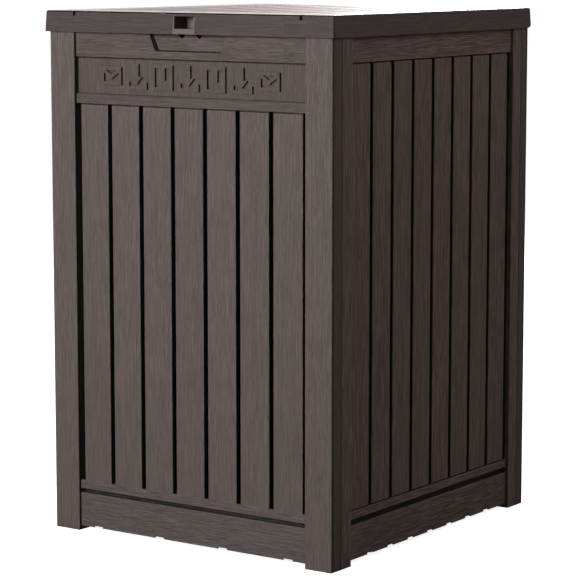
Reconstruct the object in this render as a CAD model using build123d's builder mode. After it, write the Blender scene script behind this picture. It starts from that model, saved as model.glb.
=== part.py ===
from build123d import *
import math
import os

os.makedirs("parts", exist_ok=True)

# Parcel drop box in moulded resin, millimetres.
# Four slatted wall panels are screwed together at hollow corner posts. A ribbed floor
# rests on ledges in the plinth. The lid has an outer shell and an inner liner, turns on
# two hinge pins at the back, and takes a padlock in a pocket above the finger recess.
# +X is to the right, +Y to the back, +Z up. The origin is on the ground, under the
# middle of the box's outline.

# ---------------------------------------------------------------- driving dimensions
body_width = 440.0  # over the post faces
body_depth = 474.0  # front post face to rear post face
skirt_height = 655.0  # ground to the lower edge of the lid's skirt
lid_height = 27.0  # lower edge of the skirt to the top of the lid
lid_side_gap = 1.7  # posts to the inside of the skirt's edge, at the front and the sides
lid_rear_overhang = 1.0
lid_draft = 1.8  # how far each lid face leans in over the lid's height
wall = 3.0  # moulded wall
seat_gap = 0.3  # between pieces that seat on each other

post_width = 40.0
post_edge_radius = 1.6
front_return = 22.0  # post depth along the side of the box
rear_return = 19.0
front_stile = 21.5  # side panel's upright beside the front post
rear_stile = 20.5
panel_depth = 16.0  # outer face to the inner face of a wall
board_set_back = 4.0  # rails, sills and plinths, behind the posts
slat_set_back = 5.0
groove_depth = 8.0
front_groove = 6.5
side_groove = 6.8
front_slats = 7
side_slats = 8
slat_edge_radius = 1.2
board_edge_radius = 0.8
shadow_gap = 2.0  # small gap at a slat's end, under a rail or over a sill
rib_count = 7  # hollow bays behind a rail or plinth

plinth_low = 5.5
plinth_height = 45.0
channel_height = 5.5  # groove between plinth and base sill, at the front and the rear
side_channel_height = 7.5
channel_depth = 7.0
base_sill_height = 11.5
rail_height = 31.6  # top rail that shows under the lid
sign_height = 46.9
sign_sill_height = 13.0
sign_sill_bevel = 2.0
wall_drop = 3.0  # walls' top below the lid's liner
step_length = 26.0  # walls stay low this far from the back, for the lid's swing
foot_notch_width = 15.0  # drain notches in the plinth's lower edge
foot_notch_height = 2.0
foot_notches = 4
side_foot_notches = 7

recess_top_width = 122.0  # finger recess at the skirt's edge
recess_base_width = 102.6
recess_height = 22.6  # below the skirt's edge
recess_depth = 6.4
recess_draft = 2.0  # how far the recess narrows from its rim to its back
recess_corner_radius = 3.0
shackle_spacing = 27.0
shackle_notch_width = 14.7
shackle_notch_drop = 6.3

sign_plate_thickness = 3.0
sign_set_back = 8.0
sign_relief = 3.0
sign_stroke = 4.0
symbol_size = 32.0
symbol_pitch = 41.0
envelope_height = 23.0
flap_thickness = 1.8  # rise of the envelope's flap strokes at its middle
tape_width = 8.0
tape_length = 19.2
arrow_shaft_width = 5.8
arrow_shaft_length = 19.2
arrow_head_width = 17.2
arrow_head_length = 9.6
tray_height = 9.6
peg_radius = 2.5
peg_count = 4
peg_end = 1.0  # past the wall's inner face

floor_drop = 6.5  # plinth's top to the floor's seat
ledge_thickness = 4.0
ledge_reach = 10.0  # past the walls' inner faces
floor_thickness = 4.0
floor_gap = 0.5
floor_rib_height = 16.0
floor_rib_spacing = 58.0
drain_radius = 4.0

screw_radius = 1.75
screw_head_radius = 4.0
screw_head_height = 2.6
screw_rim_height = 1.0
screw_dome_radius = 3.0  # a point between the rim and the top of the rounded head
screw_dome_height = 2.2
screw_slot_length = 4.4
screw_slot_width = 0.9
screw_slot_depth = 1.0
boss_radius = 4.5
boss_roof = 1.0  # solid above a boss's hole
screw_tip_gap = 0.5
corner_screw_count = 4
corner_screw_rise = 14.0  # lowest screw above the floor
corner_screw_drop = 55.0  # highest screw below the skirt's edge
corner_screw_length = 16.0
floor_screw_length = 12.0
floor_screw_margin = 50.0  # ledge's end to a screw

cap_height = 14.0
cap_corner_radius = 1.0

hinge_offset = 130.0  # each hinge's middle from the box's middle
hinge_inset = 8.0  # hinge axis in from the rear face
hinge_top_gap = 1.5  # knuckle to the underside of the lid's top
knuckle_radius = 5.5
knuckle_width = 20.0
ear_thickness = 6.0
ear_gap = 0.5
ear_neck_relief = 1.5  # ear's neck in from its round end, at the rear
ear_swing_gap = 1.5  # front of an ear to the end of its slot
pin_radius = 2.5
pin_running_clearance = 0.06
pin_head_radius = 4.5
pin_head_height = 2.0
pin_head_edge = 0.5
pin_end = 1.5  # past the clip
clip_thickness = 1.2

lid_top_thickness = 4.0
lid_edge_radius = 2.4
lid_corner_radius = 2.0
plank_pitch = 50.4
plank_groove = 3.0
plank_groove_depth = 2.0
plank_border = 45.0  # where the inner plank grooves stop, from the body's faces
edge_notch_height = 6.5
hinge_web = 1.0  # rear wall left under the lid's top, over the hinge cut-outs
rear_bevel_length = 8.0
rear_bevel_height = 3.5

liner_thickness = 3.0
liner_drop = 8.0  # liner's upper face below the underside of the lid's top
liner_gap = 0.6
liner_rim_gap = 2.0  # rim and ribs to the underside of the lid's top
liner_rib_margin = 95.0  # body's faces to a rib's end
pressed_margin = 62.0  # body's faces to the pressed panel
pressed_depth = 1.0
pressed_corner_radius = 12.0
liner_screw_columns = 4
liner_screw_rows = 3
liner_screw_side = 26.0  # body's side face to the outer screws
liner_screw_front = 45.0
liner_screw_back = 68.0
bumper_radius = 5.0
bumper_front = 84.0  # body's front face to a bumper
bumper_back = 134.0

pocket_width = 30.0  # padlock window
pocket_drop = 4.5  # window's upper edge below the lid's top
apron_height = 6.8  # skirt's edge to the window's lower edge
apron_inset = 0.1
pocket_depth = 26.0
pocket_wall = 2.0
pocket_rest_gap = 0.8  # pocket's floor above the recess's back wall
shackle_slot_width = 7.0
shackle_slot_offset = 10.75
shackle_slot_length = 7.0
shackle_slot_margin = 1.0
pocket_flange = 8.0

cut_past = 1.0  # how far a cut runs past the face that it opens

# ------------------------------------------------------------------- derived positions
lid_overhang = lid_side_gap + wall
lid_width = body_width + 2 * lid_overhang
lid_depth = body_depth + lid_overhang + lid_rear_overhang
# the bevel under the rear edge takes a little off the lid's longest reach
outline_depth = lid_depth - lid_draft * rear_bevel_height / lid_height
lid_front = -outline_depth / 2
lid_back = lid_front + lid_depth
front_y = lid_front + lid_overhang
back_y = front_y + body_depth
middle_y = (front_y + back_y) / 2
half_width = body_width / 2
half_depth = body_depth / 2

lid_top = skirt_height + lid_height
rail_low = skirt_height - rail_height
sign_sill_high = rail_low - sign_height
sign_sill_low = sign_sill_high - sign_sill_height
recess_low = skirt_height - recess_height
recess_wall_top = skirt_height + apron_height - pocket_wall - pocket_rest_gap
plinth_high = plinth_low + plinth_height
base_sill_low = plinth_high + channel_height
base_sill_high = base_sill_low + base_sill_height
ledge_high = plinth_high - floor_drop
floor_high = ledge_high + floor_thickness

lid_under = lid_top - lid_top_thickness
hinge_y = back_y - hinge_inset
hinge_z = lid_under - hinge_top_gap - knuckle_radius
liner_high = lid_under - liner_drop
liner_low = liner_high - liner_thickness
wall_top = liner_low - wall_drop
rim_top = lid_under - liner_rim_gap
pocket_low = skirt_height + apron_height
pocket_high = lid_top - pocket_drop
draft_angle = math.degrees(math.atan(lid_draft / lid_height))
ledge_middle = panel_depth + ledge_reach / 2
screw_hole_radius = screw_radius + seat_gap / 2


def spread(low, high, count):
    """Evenly spaced places from one end to the other."""
    return [low + index * (high - low) / (count - 1) for index in range(count)]


corner_screw_heights = spread(
    floor_high + corner_screw_rise, skirt_height - corner_screw_drop, corner_screw_count
)


def panel_frame(x, y, across):
    """Frame of a wall: its own X runs along the wall, its own Y goes inwards."""
    return Plane(origin=(x, y, 0), x_dir=across, z_dir=(0, 0, 1))


front_frame = panel_frame(0, front_y, (1, 0, 0))
rear_frame = panel_frame(0, back_y, (-1, 0, 0))
right_frame = panel_frame(half_width, middle_y, (0, 1, 0))


def board(along, inwards, heights, mode=Mode.ADD, count=1, pitch=0.0):
    """A board between two places along the wall, two depths and two heights.

    With a count, a row of equal boards stands about the board's own place.
    """
    ranges = (along, inwards, heights)
    middle = tuple((low + high) / 2 for low, high in ranges)
    size = [high - low for low, high in ranges]
    with Locations(middle):
        with GridLocations(pitch, 1, count, 1):
            Box(*size, mode=mode)


def rod(along, inwards, height, radius, mode=Mode.ADD):
    """A round boss, hole or screw shank that runs inwards through a wall."""
    low, high = inwards
    with Locations((along, (low + high) / 2, height)):
        Cylinder(radius, high - low, rotation=(90, 0, 0), mode=mode)


def edges_at_depth(builder, frame, inwards, direction):
    """Edges of a wall that lie at one depth and run in one direction."""
    return (
        builder.edges()
        .filter_by(direction)
        .filter_by(lambda edge: abs(frame.to_local_coords(edge.center()).Y - inwards) < 0.01)
    )


def post(side, depth, top, frame):
    """Hollow corner post: two outer faces, an inner cheek and screw bosses.

    It is open at the back, where the side panel's web closes it, and at the foot.
    """
    middle = side * (half_width - post_width / 2)
    with BuildSketch(frame) as outline:
        with Locations((middle, depth / 2)):
            Rectangle(post_width, depth)
        outer = outline.vertices().group_by(Axis.Y)[0]
        fillet(outer, post_edge_radius)
    extrude(outline.sketch, amount=top)
    hollow = post_width / 2 - wall
    board((middle - hollow, middle + hollow), (wall, depth), (0, top - wall), Mode.SUBTRACT)
    for height in corner_screw_heights:
        rod(middle, (wall, depth), height, boss_radius)
        rod(middle, (depth + wall - corner_screw_length, depth), height, screw_radius, Mode.SUBTRACT)


def bays(along, inwards, heights, count):
    """Row of hollow bays between ribs, open to the inside of the box."""
    low, high = along
    pitch = (high - low - wall) / count
    middle = (low + high) / 2
    half_bay = (pitch - wall) / 2
    board((middle - half_bay, middle + half_bay), inwards, heights, Mode.SUBTRACT, count, pitch)


def slatted_field(along, slats, groove, slat_top, top, channel, notches):
    """Wall between two uprights: plinth, channel, base sill, slats and top rail."""
    low, high = along
    middle = (low + high) / 2
    channel_middle = (plinth_high + base_sill_low) / 2
    pitch = (high - low - groove) / slats
    slat_half = (pitch - groove) / 2
    board(along, (board_set_back, panel_depth), (plinth_low, top))
    board(along, (board_set_back, board_set_back + channel_depth),
          (channel_middle - channel / 2, channel_middle + channel / 2), Mode.SUBTRACT)
    board(along, (board_set_back, slat_set_back), (base_sill_high, slat_top), Mode.SUBTRACT)
    board((middle - groove / 2, middle + groove / 2), (slat_set_back, slat_set_back + groove_depth),
          (base_sill_high, slat_top), Mode.SUBTRACT, slats + 1, pitch)
    board((middle - slat_half + wall, middle + slat_half - wall),
          (slat_set_back + wall, panel_depth), (base_sill_high, slat_top - wall),
          Mode.SUBTRACT, slats, pitch)
    bays(along, (board_set_back + wall, panel_depth), (plinth_low, plinth_high - wall), rib_count)
    bays(along, (board_set_back + wall, panel_depth), (rail_low + wall, top - wall), rib_count)
    board((middle - foot_notch_width / 2, middle + foot_notch_width / 2),
          (board_set_back, board_set_back + wall), (plinth_low, plinth_low + foot_notch_height),
          Mode.SUBTRACT, notches, (slats - 1) // (notches - 1) * pitch)


def shadow_line(along, heights):
    """Narrow gap between the slats' ends and a rail or sill."""
    board(along, (slat_set_back, slat_set_back + shadow_gap), heights, Mode.SUBTRACT)


def soften(builder, frame, across):
    """Round the slats' long edges and the boards' edges."""
    fillet(edges_at_depth(builder, frame, slat_set_back, Axis.Z), slat_edge_radius)
    fillet(edges_at_depth(builder, frame, board_set_back, across), board_edge_radius)


def ledge(along):
    """Ledge inside the plinth that the floor rests on."""
    board(along, (board_set_back + wall, panel_depth + ledge_reach),
          (ledge_high - ledge_thickness, ledge_high))
    for place in (along[0] + floor_screw_margin, along[1] - floor_screw_margin):
        with Locations((place, ledge_middle, ledge_high)):
            Cylinder(screw_radius, 2 * (ledge_thickness + cut_past), mode=Mode.SUBTRACT)


# ------------------------------------------------------------------------- front panel
field_half = half_width - post_width
field = (-field_half, field_half)
ledge_half = field_half - wall - seat_gap
end_ledge = (-ledge_half, ledge_half)
sign_back = sign_set_back + sign_plate_thickness + seat_gap
peg_places = spread(-symbol_pitch * (peg_count - 1), symbol_pitch * (peg_count - 1), peg_count)


def recess_outline(margin):
    """Trapezoid of the finger recess, wider at the top, grown by a margin."""
    slope = (recess_top_width - recess_base_width) / 2 / recess_height
    rise = wall_top + wall - skirt_height
    top_half = recess_top_width / 2 + slope * rise + margin
    base_half = recess_base_width / 2 + margin
    low = recess_low - margin
    high = skirt_height + rise
    Polygon((-base_half, low), (base_half, low), (top_half, high), (-top_half, high), align=None)


def upright_plane(frame, inwards):
    """Drawing plane that stands in a wall at one depth and is seen from outside."""
    origin = frame.from_local_coords((0, inwards, 0))
    return Plane(origin=origin, x_dir=frame.x_dir, z_dir=-frame.y_dir)


with BuildPart(front_frame) as front_panel:
    for side in (-1, 1):
        post(side, front_return, wall_top, front_frame)
    slatted_field(field, front_slats, front_groove, sign_sill_low, wall_top, channel_height,
                  foot_notches)
    shadow_line(field, (sign_sill_low - shadow_gap, sign_sill_low))
    # pocket for the sign plate, with a thin web behind it
    board(field, (board_set_back, sign_back), (sign_sill_high, rail_low), Mode.SUBTRACT)
    board(field, (sign_back + wall, panel_depth), (sign_sill_high, rail_low), Mode.SUBTRACT)
    for place in peg_places:
        rod(place, (sign_back, sign_back + wall), (sign_sill_high + rail_low) / 2,
            peg_radius + seat_gap / 2, Mode.SUBTRACT)
    ledge(end_ledge)
    sill_edge = edges_at_depth(front_panel, front_frame, board_set_back, Axis.X).filter_by(
        lambda edge: abs(edge.center().Z - sign_sill_high) < 0.01
    )
    chamfer(sill_edge, sign_sill_bevel)
    soften(front_panel, front_frame, Axis.X)
    # finger recess: a thick surround, hollowed, with its back wall lower than the rail
    with BuildSketch(upright_plane(front_frame, board_set_back)) as surround:
        recess_outline(wall)
    extrude(surround.sketch, amount=-(recess_depth + wall))
    with BuildSketch(upright_plane(front_frame, board_set_back)) as rim:
        recess_outline(0)
        fillet(rim.vertices().group_by(Axis.Y)[0], recess_corner_radius)
    with BuildSketch(upright_plane(front_frame, board_set_back + recess_depth)) as back:
        recess_outline(-recess_draft)
        fillet(back.vertices().group_by(Axis.Y)[0], recess_corner_radius)
    loft(sections=[rim.sketch, back.sketch], mode=Mode.SUBTRACT)
    board(field, (0, panel_depth), (wall_top, lid_top), Mode.SUBTRACT)
    clear_half = recess_top_width / 2
    board((-clear_half, clear_half), (board_set_back, panel_depth), (recess_wall_top, wall_top),
          Mode.SUBTRACT)
    # two pointed notches for the padlock's shackle
    with BuildSketch(upright_plane(front_frame, 0)) as notches:
        for side in (-1, 1):
            middle = side * shackle_spacing / 2
            half = shackle_notch_width / 2
            Polygon(
                (middle, skirt_height - shackle_notch_drop),
                (middle + half, skirt_height),
                (middle + half, wall_top),
                (middle - half, wall_top),
                (middle - half, skirt_height),
                align=None,
            )
    extrude(notches.sketch, amount=-panel_depth, mode=Mode.SUBTRACT)


# -------------------------------------------------------------------------- rear panel
hinge_places = (-hinge_offset, hinge_offset)
ear_inner = knuckle_width / 2 + ear_gap
ear_outer = ear_inner + ear_thickness
neck = (hinge_inset - knuckle_radius + ear_neck_relief, hinge_inset + knuckle_radius)

with BuildPart(rear_frame) as rear_panel:
    for side in (-1, 1):
        post(side, rear_return, skirt_height, rear_frame)
    slatted_field(field, front_slats, front_groove, rail_low, skirt_height, channel_height,
                  foot_notches)
    shadow_line(field, (rail_low - shadow_gap, rail_low))
    ledge(end_ledge)
    soften(rear_panel, rear_frame, Axis.X)
    for place in hinge_places:
        for side in (-1, 1):
            ends = sorted((place + side * ear_inner, place + side * ear_outer))
            board(ends, neck, (skirt_height - wall, hinge_z))
            with Locations((sum(ends) / 2, hinge_inset, hinge_z)):
                Cylinder(knuckle_radius, ear_thickness, rotation=(0, 90, 0))
                Cylinder(pin_radius, ear_thickness, rotation=(0, 90, 0), mode=Mode.SUBTRACT)

# ------------------------------------------------------------------------- side panels
side_low = -half_depth + front_return
side_high = half_depth - rear_return
side_field = (side_low + front_stile, side_high - rear_stile)
side_ledge = (side_field[0] + wall, side_field[1] - wall)
web_width = post_width - wall


with BuildPart(right_frame) as right_panel:
    slatted_field(side_field, side_slats, side_groove, rail_low, wall_top, side_channel_height,
                  side_foot_notches)
    shadow_line(side_field, (rail_low - shadow_gap, rail_low))
    shadow_line(side_field, (base_sill_high, base_sill_high + shadow_gap))
    ledge(side_ledge)
    soften(right_panel, right_frame, Axis.Y)
    # uprights, and the webs that close the hollow posts and carry the corner screws
    uprights = ((side_low, side_field[0]), (side_field[1], side_high))
    webs = ((side_low + seat_gap, side_low + wall), (side_high - wall, side_high - seat_gap))
    for upright, web in zip(uprights, webs):
        ends = (max(upright[0], webs[0][0]), min(upright[1], webs[1][1]))
        hollow = (upright[0] + wall, upright[1] - wall)
        board(ends, (0, panel_depth), (0, wall_top))
        board(hollow, (wall, panel_depth), (0, wall_top - wall), Mode.SUBTRACT)
        board(web, (0, web_width), (0, wall_top))
        for height in corner_screw_heights:
            with Locations(((web[0] + web[1]) / 2, post_width / 2, height)):
                Cylinder(screw_hole_radius, 2 * wall, rotation=(0, 90, 0), mode=Mode.SUBTRACT)
    # the walls stay low near the hinge, where the lid's rear wall swings down
    board((half_depth - step_length, half_depth), (-cut_past, post_width),
          (skirt_height, wall_top + cut_past), Mode.SUBTRACT)

with BuildPart() as left_panel:
    mirror(right_panel.part, about=Plane.YZ)

# --------------------------------------------------------------------- floor and feet
floor_half_x = half_width - panel_depth - floor_gap
floor_front = front_y + panel_depth + floor_gap
floor_back = back_y - panel_depth - floor_gap
corner_x = half_width - post_width - floor_gap
corner_front = front_y + front_return + wall + floor_gap
corner_back = back_y - rear_return - wall - floor_gap
rib_reach = panel_depth + ledge_reach + floor_gap
drain_spacing = 4 * floor_rib_spacing
end_screw_x = end_ledge[1] - floor_screw_margin
side_screw_y = [middle_y + side_ledge[0] + floor_screw_margin,
                middle_y + side_ledge[1] - floor_screw_margin]
floor_screw_places = [
    *((x, y) for x in (-end_screw_x, end_screw_x)
      for y in (front_y + ledge_middle, back_y - ledge_middle)),
    *((x, y) for x in (-half_width + ledge_middle, half_width - ledge_middle)
      for y in side_screw_y),
]


def block(x_range, y_range, z_range, mode=Mode.ADD):
    """A block between two places on each of the box's axes."""
    ranges = (x_range, y_range, z_range)
    with Locations(tuple((low + high) / 2 for low, high in ranges)):
        Box(*(high - low for low, high in ranges), mode=mode)


with BuildPart() as floor_panel:
    block((-floor_half_x, floor_half_x), (floor_front, floor_back), (ledge_high, floor_high))
    for x in ((-half_width, -corner_x), (corner_x, half_width)):
        for y in ((front_y, corner_front), (corner_back, back_y)):
            block(x, y, (ledge_high, floor_high), Mode.SUBTRACT)
    rib_x = half_width - rib_reach
    rib_y = (front_y + rib_reach, back_y - rib_reach)
    rib_columns = int(2 * rib_x // floor_rib_spacing)
    rib_rows = int((rib_y[1] - rib_y[0]) // floor_rib_spacing)
    with Locations((0, sum(rib_y) / 2, ledge_high - floor_rib_height / 2)):
        with GridLocations(floor_rib_spacing, 1, rib_columns, 1):
            Box(wall, rib_y[1] - rib_y[0], floor_rib_height)
        with GridLocations(1, floor_rib_spacing, 1, rib_rows):
            Box(2 * rib_x, wall, floor_rib_height)
    with Locations((0, sum(rib_y) / 2, ledge_high)):
        with GridLocations(drain_spacing, drain_spacing, 2, 2):
            with Locations((floor_rib_spacing / 2, floor_rib_spacing / 2)):
                Cylinder(drain_radius, 2 * (floor_thickness + cut_past), mode=Mode.SUBTRACT)
    for x, y in floor_screw_places:
        with Locations((x, y, ledge_high)):
            Cylinder(screw_hole_radius, 2 * (floor_thickness + cut_past), mode=Mode.SUBTRACT)


def foot_cap(side, face_y, inwards, depth):
    """Cup that plugs the open foot of a hollow post."""
    hollow_x = post_width - 2 * wall - 2 * seat_gap
    hollow_y = depth - wall - 2 * seat_gap
    centre = (side * (half_width - post_width / 2), face_y + inwards * (wall + depth) / 2)
    with BuildSketch() as outline:
        with Locations(centre):
            RectangleRounded(hollow_x, hollow_y, cap_corner_radius)
    extrude(outline.sketch, amount=cap_height)
    with BuildSketch(Plane.XY.offset(wall)) as inside:
        with Locations(centre):
            Rectangle(hollow_x - 2 * wall, hollow_y - 2 * wall)
    extrude(inside.sketch, amount=cap_height, mode=Mode.SUBTRACT)


with BuildPart() as front_left_foot_cap:
    foot_cap(-1, front_y, 1, front_return)
with BuildPart() as front_right_foot_cap:
    foot_cap(1, front_y, 1, front_return)
with BuildPart() as rear_left_foot_cap:
    foot_cap(-1, back_y, -1, rear_return)
with BuildPart() as rear_right_foot_cap:
    foot_cap(1, back_y, -1, rear_return)


# ---------------------------------------------------------------------------- screws
def screw(length):
    """One pan-head screw whose shank points down, its head's underside at zero."""
    with BuildPart() as piece:
        with BuildSketch(Plane.XZ):
            with BuildLine():
                Polyline(
                    (0, screw_head_height),
                    (0, -length),
                    (screw_radius / 2, -length),
                    (screw_radius, -length + screw_radius),
                    (screw_radius, 0),
                    (screw_head_radius, 0),
                    (screw_head_radius, screw_rim_height),
                )
                ThreePointArc(
                    (screw_head_radius, screw_rim_height),
                    (screw_dome_radius, screw_dome_height),
                    (0, screw_head_height),
                )
            make_face()
        revolve(axis=Axis.Z)
        with Locations((0, 0, screw_head_height)):
            Box(screw_slot_length, screw_slot_width, 2 * screw_slot_depth, mode=Mode.SUBTRACT)
            Box(screw_slot_width, screw_slot_length, 2 * screw_slot_depth, mode=Mode.SUBTRACT)
    return piece.part


def drive(piece, places, outwards):
    """Copies of a screw, each with its head's underside at a place."""
    for place in places:
        with Locations(Plane(origin=place, z_dir=outwards).location):
            add(piece)


corner_screw = screw(corner_screw_length - seat_gap)
floor_screw = screw(floor_screw_length)
post_x = half_width - post_width / 2


def corner_places(y):
    """Head seats of the screws that hold one wall's two posts."""
    return [(side * post_x, y, height) for side in (-1, 1) for height in corner_screw_heights]


with BuildPart() as front_corner_screws:
    drive(corner_screw, corner_places(front_y + front_return + wall), (0, 1, 0))
with BuildPart() as rear_corner_screws:
    drive(corner_screw, corner_places(back_y - rear_return - wall), (0, -1, 0))
with BuildPart() as floor_screws:
    drive(floor_screw, [(x, y, floor_high) for x, y in floor_screw_places], (0, 0, 1))

# ------------------------------------------------------------------------- sign plate
symbol_line = (sign_sill_high + rail_low) / 2
plate_face = sign_set_back
plate_half = field_half - seat_gap


def outline_box(width, height):
    """Open rectangle with the sign's stroke."""
    Rectangle(width, height)
    Rectangle(width - 2 * sign_stroke, height - 2 * sign_stroke, mode=Mode.SUBTRACT)


def parcel_symbol():
    """Parcel: a box outline with a strip of tape down from its top."""
    outline_box(symbol_size, symbol_size)
    with Locations((0, (symbol_size - tape_length) / 2)):
        Rectangle(tape_width, tape_length)


def envelope_symbol():
    """Envelope: a flat outline with two strokes for its flap."""
    outline_box(symbol_size, envelope_height)
    top = envelope_height / 2
    for side in (-1, 1):
        Polygon(
            (0, -sign_stroke),
            (side * symbol_size / 2, top - sign_stroke),
            (side * symbol_size / 2, top),
            (0, flap_thickness),
            align=None,
        )


def drop_arrow_symbol():
    """Arrow that points down into a tray."""
    half = symbol_size / 2
    bar = half - sign_stroke / 2
    with Locations((0, half - arrow_shaft_length / 2)):
        Rectangle(arrow_shaft_width, arrow_shaft_length)
    Polygon((-arrow_head_width / 2, 0), (arrow_head_width / 2, 0), (0, -arrow_head_length), align=None)
    with Locations((0, -bar)):
        Rectangle(symbol_size, sign_stroke)
    with Locations((0, tray_height / 2 - half)):
        with GridLocations(2 * bar, 1, 2, 1):
            Rectangle(sign_stroke, tray_height)


symbols = (envelope_symbol, drop_arrow_symbol, parcel_symbol, drop_arrow_symbol,
           parcel_symbol, drop_arrow_symbol, envelope_symbol)

with BuildPart(front_frame) as sign_plate:
    board((-plate_half, plate_half), (plate_face, plate_face + sign_plate_thickness),
          (sign_sill_high + seat_gap, rail_low - seat_gap))
    for place in peg_places:
        rod(place, (plate_face + sign_plate_thickness, panel_depth + peg_end), symbol_line, peg_radius)
    for index, draw_symbol in enumerate(symbols):
        middle = (index - (len(symbols) - 1) / 2) * symbol_pitch
        face = Plane(
            origin=front_frame.from_local_coords((middle, plate_face, symbol_line)),
            x_dir=(1, 0, 0),
            z_dir=(0, -1, 0),
        )
        with BuildSketch(face) as symbol:
            draw_symbol()
        extrude(symbol.sketch, amount=sign_relief)

# ------------------------------------------------------------------------- hinge pins
pin_length = 2 * ear_outer + clip_thickness + pin_end


def hinge_pin(place):
    """Pin with a round head on its left and a groove-held clip on its right."""
    with Locations((place - ear_outer + pin_length / 2, hinge_y, hinge_z)):
        Cylinder(pin_radius, pin_length, rotation=(0, 90, 0))
    with Locations((place - ear_outer - pin_head_height / 2, hinge_y, hinge_z)):
        Cylinder(pin_head_radius, pin_head_height, rotation=(0, 90, 0))
    fillet(faces().sort_by(Axis.X)[0].edges(), pin_head_edge)


with BuildPart() as left_hinge_pin:
    hinge_pin(-hinge_offset)
with BuildPart() as right_hinge_pin:
    hinge_pin(hinge_offset)
with BuildPart() as hinge_pin_clips:
    for place in hinge_places:
        with Locations((place + ear_outer + clip_thickness / 2, hinge_y, hinge_z)):
            Cylinder(pin_head_radius, clip_thickness, rotation=(0, 90, 0))
            Cylinder(pin_radius, clip_thickness, rotation=(0, 90, 0), mode=Mode.SUBTRACT)

# --------------------------------------------------------------------------- lid shell
hinge_notch = ear_outer + pin_head_height + clip_thickness + ear_gap
plank_count = round(2 * (half_width - plank_border) / plank_pitch)
outer_groove = plank_count * plank_pitch / 2
pocket_half = pocket_width / 2 + pocket_wall
lid_middle = (lid_front + lid_back) / 2
boss_hole_depth = liner_drop - boss_roof
liner_screw_x = spread(liner_screw_side - half_width, half_width - liner_screw_side, liner_screw_columns)
liner_screw_y = spread(front_y + liner_screw_front, back_y - liner_screw_back, liner_screw_rows)
liner_screw_places = [(x, y) for x in liner_screw_x for y in liner_screw_y]
stand_up = (Align.CENTER, Align.CENTER, Align.MIN)
hang_down = (Align.CENTER, Align.CENTER, Align.MAX)

with BuildPart() as lid_shell:
    with BuildSketch(Plane.XY.offset(skirt_height)) as outline:
        with Locations((0, lid_middle)):
            RectangleRounded(lid_width, lid_depth, lid_corner_radius)
    extrude(amount=lid_height, taper=draft_angle)
    fillet(lid_shell.faces().sort_by(Axis.Z)[-1].edges(), lid_edge_radius)
    with BuildSketch(Plane.XY.offset(skirt_height)) as inside:
        with Locations((0, lid_middle)):
            Rectangle(lid_width - 2 * wall, lid_depth - 2 * wall)
    extrude(amount=lid_height - lid_top_thickness, taper=draft_angle, mode=Mode.SUBTRACT)
    # bosses under the top for the liner's screws
    for x, y in liner_screw_places:
        with Locations((x, y, liner_high)):
            Cylinder(boss_radius, liner_drop, align=stand_up)
            Cylinder(screw_radius, boss_hole_depth, align=stand_up, mode=Mode.SUBTRACT)
    # planks: the two outer grooves run through the front and rear edges
    inner_ends = (front_y + plank_border, back_y - plank_border)
    groove_bottom = lid_top - plank_groove_depth
    for index in range(plank_count + 1):
        x = index * plank_pitch - outer_groove
        outermost = index in (0, plank_count)
        across = (x - plank_groove / 2, x + plank_groove / 2)
        ends = (lid_front, lid_back) if outermost else inner_ends
        block(across, ends, (groove_bottom, lid_top + cut_past), Mode.SUBTRACT)
        if outermost:
            front_face = lid_front + lid_draft + plank_groove_depth
            block(across, (lid_front - cut_past, front_face),
                  (lid_top - edge_notch_height, lid_top + cut_past), Mode.SUBTRACT)
    # opening for the padlock pocket
    block((-pocket_half - seat_gap, pocket_half + seat_gap), (lid_front - cut_past, front_y + wall),
          (skirt_height - cut_past, pocket_high), Mode.SUBTRACT)
    # clearance for the hinge ears and pins, which pass through the rear wall as the lid opens
    for place in hinge_places:
        block((place - hinge_notch, place + hinge_notch), (hinge_y, lid_back + cut_past),
              (skirt_height - cut_past, lid_under - hinge_web), Mode.SUBTRACT)
    # bevel under the rear end, so that it clears the posts as it swings down
    with BuildSketch(Plane.YZ) as bevel:
        Polygon(
            (lid_back - rear_bevel_length, skirt_height),
            (lid_back, skirt_height + rear_bevel_height),
            (lid_back + wall, skirt_height + rear_bevel_height),
            (lid_back + wall, skirt_height - wall),
            (lid_back - rear_bevel_length, skirt_height - wall),
            align=None,
        )
    extrude(amount=half_width + 2 * lid_overhang, both=True, mode=Mode.SUBTRACT)

# --------------------------------------------------------------------------- lid liner
level_draft = lid_draft * (liner_high - skirt_height) / lid_height
liner_half_x = lid_width / 2 - level_draft - wall - liner_gap
liner_front = lid_front + level_draft + wall + liner_gap
liner_back = lid_back - level_draft - wall - liner_gap
ear_slot_front = hinge_y - knuckle_radius - ear_swing_gap
pocket_back = lid_front + pocket_depth + pocket_wall

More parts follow.
